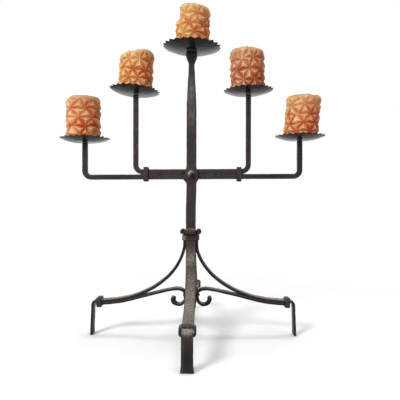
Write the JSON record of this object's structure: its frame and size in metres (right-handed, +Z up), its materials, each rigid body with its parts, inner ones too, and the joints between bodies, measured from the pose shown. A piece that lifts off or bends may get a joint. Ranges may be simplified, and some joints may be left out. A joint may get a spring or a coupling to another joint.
{
  "type": "candelabra",
  "caption": "Forged iron table candelabra on a crossed foot, with candles on spiked pans at stepped heights and each candle free to lift off.",
  "frame": {"origin": "on the surface it stands on, below the post, at the middle of the object's footprint", "axes": "+Z up along the post, +X along the arms to the right seen from the front, -Y towards the front leg"},
  "size_m": [0.5141, 0.3951, 0.6333],
  "materials": {
    "forged_iron": "hammered, oiled dark brown-black, worn paler on edges",
    "rivet_iron": "hammered dome, half bright",
    "sheet_iron": "hammered sheet with a blue-grey sheen",
    "candle_wax": "carved peach-orange wax, paler where melted",
    "spilled_wax": "set pale wax",
    "wick_cotton": "burnt braided cotton"
  },
  "bodies": {
    "stand": {"post": "forged_iron", "outer_arm": "forged_iron", "inner_arm": "forged_iron", "arm_collar_left": "forged_iron", "arm_collar_right": "forged_iron", "post_collar": "forged_iron", "cross_rivet": "rivet_iron", "brace_rivet_side": "rivet_iron", "brace_rivet_front": "rivet_iron", "leg_front": "forged_iron", "leg_back": "forged_iron", "leg_left": "forged_iron", "leg_right": "forged_iron", "brace_front": "forged_iron", "brace_back": "forged_iron", "brace_left": "forged_iron", "brace_right": "forged_iron", "foot_collar_front": "forged_iron", "foot_collar_back": "forged_iron", "foot_collar_left": "forged_iron", "foot_collar_right": "forged_iron", "pan_outer_left": "sheet_iron", "pan_inner_left": "sheet_iron", "pan_centre": "sheet_iron", "pan_inner_right": "sheet_iron", "pan_outer_right": "sheet_iron", "pricket_outer_left": "forged_iron", "pricket_inner_left": "forged_iron", "pricket_centre": "forged_iron", "pricket_inner_right": "forged_iron", "pricket_outer_right": "forged_iron", "wax_spill": "spilled_wax"},
    "candle_outer_left": {"candle_outer_left": "candle_wax", "wick_outer_left": "wick_cotton"},
    "candle_inner_left": {"candle_inner_left": "candle_wax", "wick_inner_left": "wick_cotton"},
    "candle_centre": {"candle_centre": "candle_wax", "wick_centre": "wick_cotton"},
    "candle_inner_right": {"candle_inner_right": "candle_wax", "wick_inner_right": "wick_cotton"},
    "candle_outer_right": {"candle_outer_right": "candle_wax", "wick_outer_right": "wick_cotton"}
  },
  "joints": [
    {"name": "lift_outer_left", "type": "slide", "parent": "stand", "child": "candle_outer_left", "axis": [0.0052, 0, 1], "range_m": [0, 0.04]},
    {"name": "lift_inner_left", "type": "slide", "parent": "stand", "child": "candle_inner_left", "axis": [0.0801, 0.0436, 0.9958], "range_m": [0, 0.04]},
    {"name": "lift_centre", "type": "slide", "parent": "stand", "child": "candle_centre", "axis": [0.0332, 0, 0.9995], "range_m": [0, 0.04]},
    {"name": "lift_inner_right", "type": "slide", "parent": "stand", "child": "candle_inner_right", "axis": [-0.0262, 0, 0.9997], "range_m": [0, 0.04]},
    {"name": "lift_outer_right", "type": "slide", "parent": "stand", "child": "candle_outer_right", "axis": [-0.0052, 0, 1], "range_m": [0, 0.04]}
  ]
}
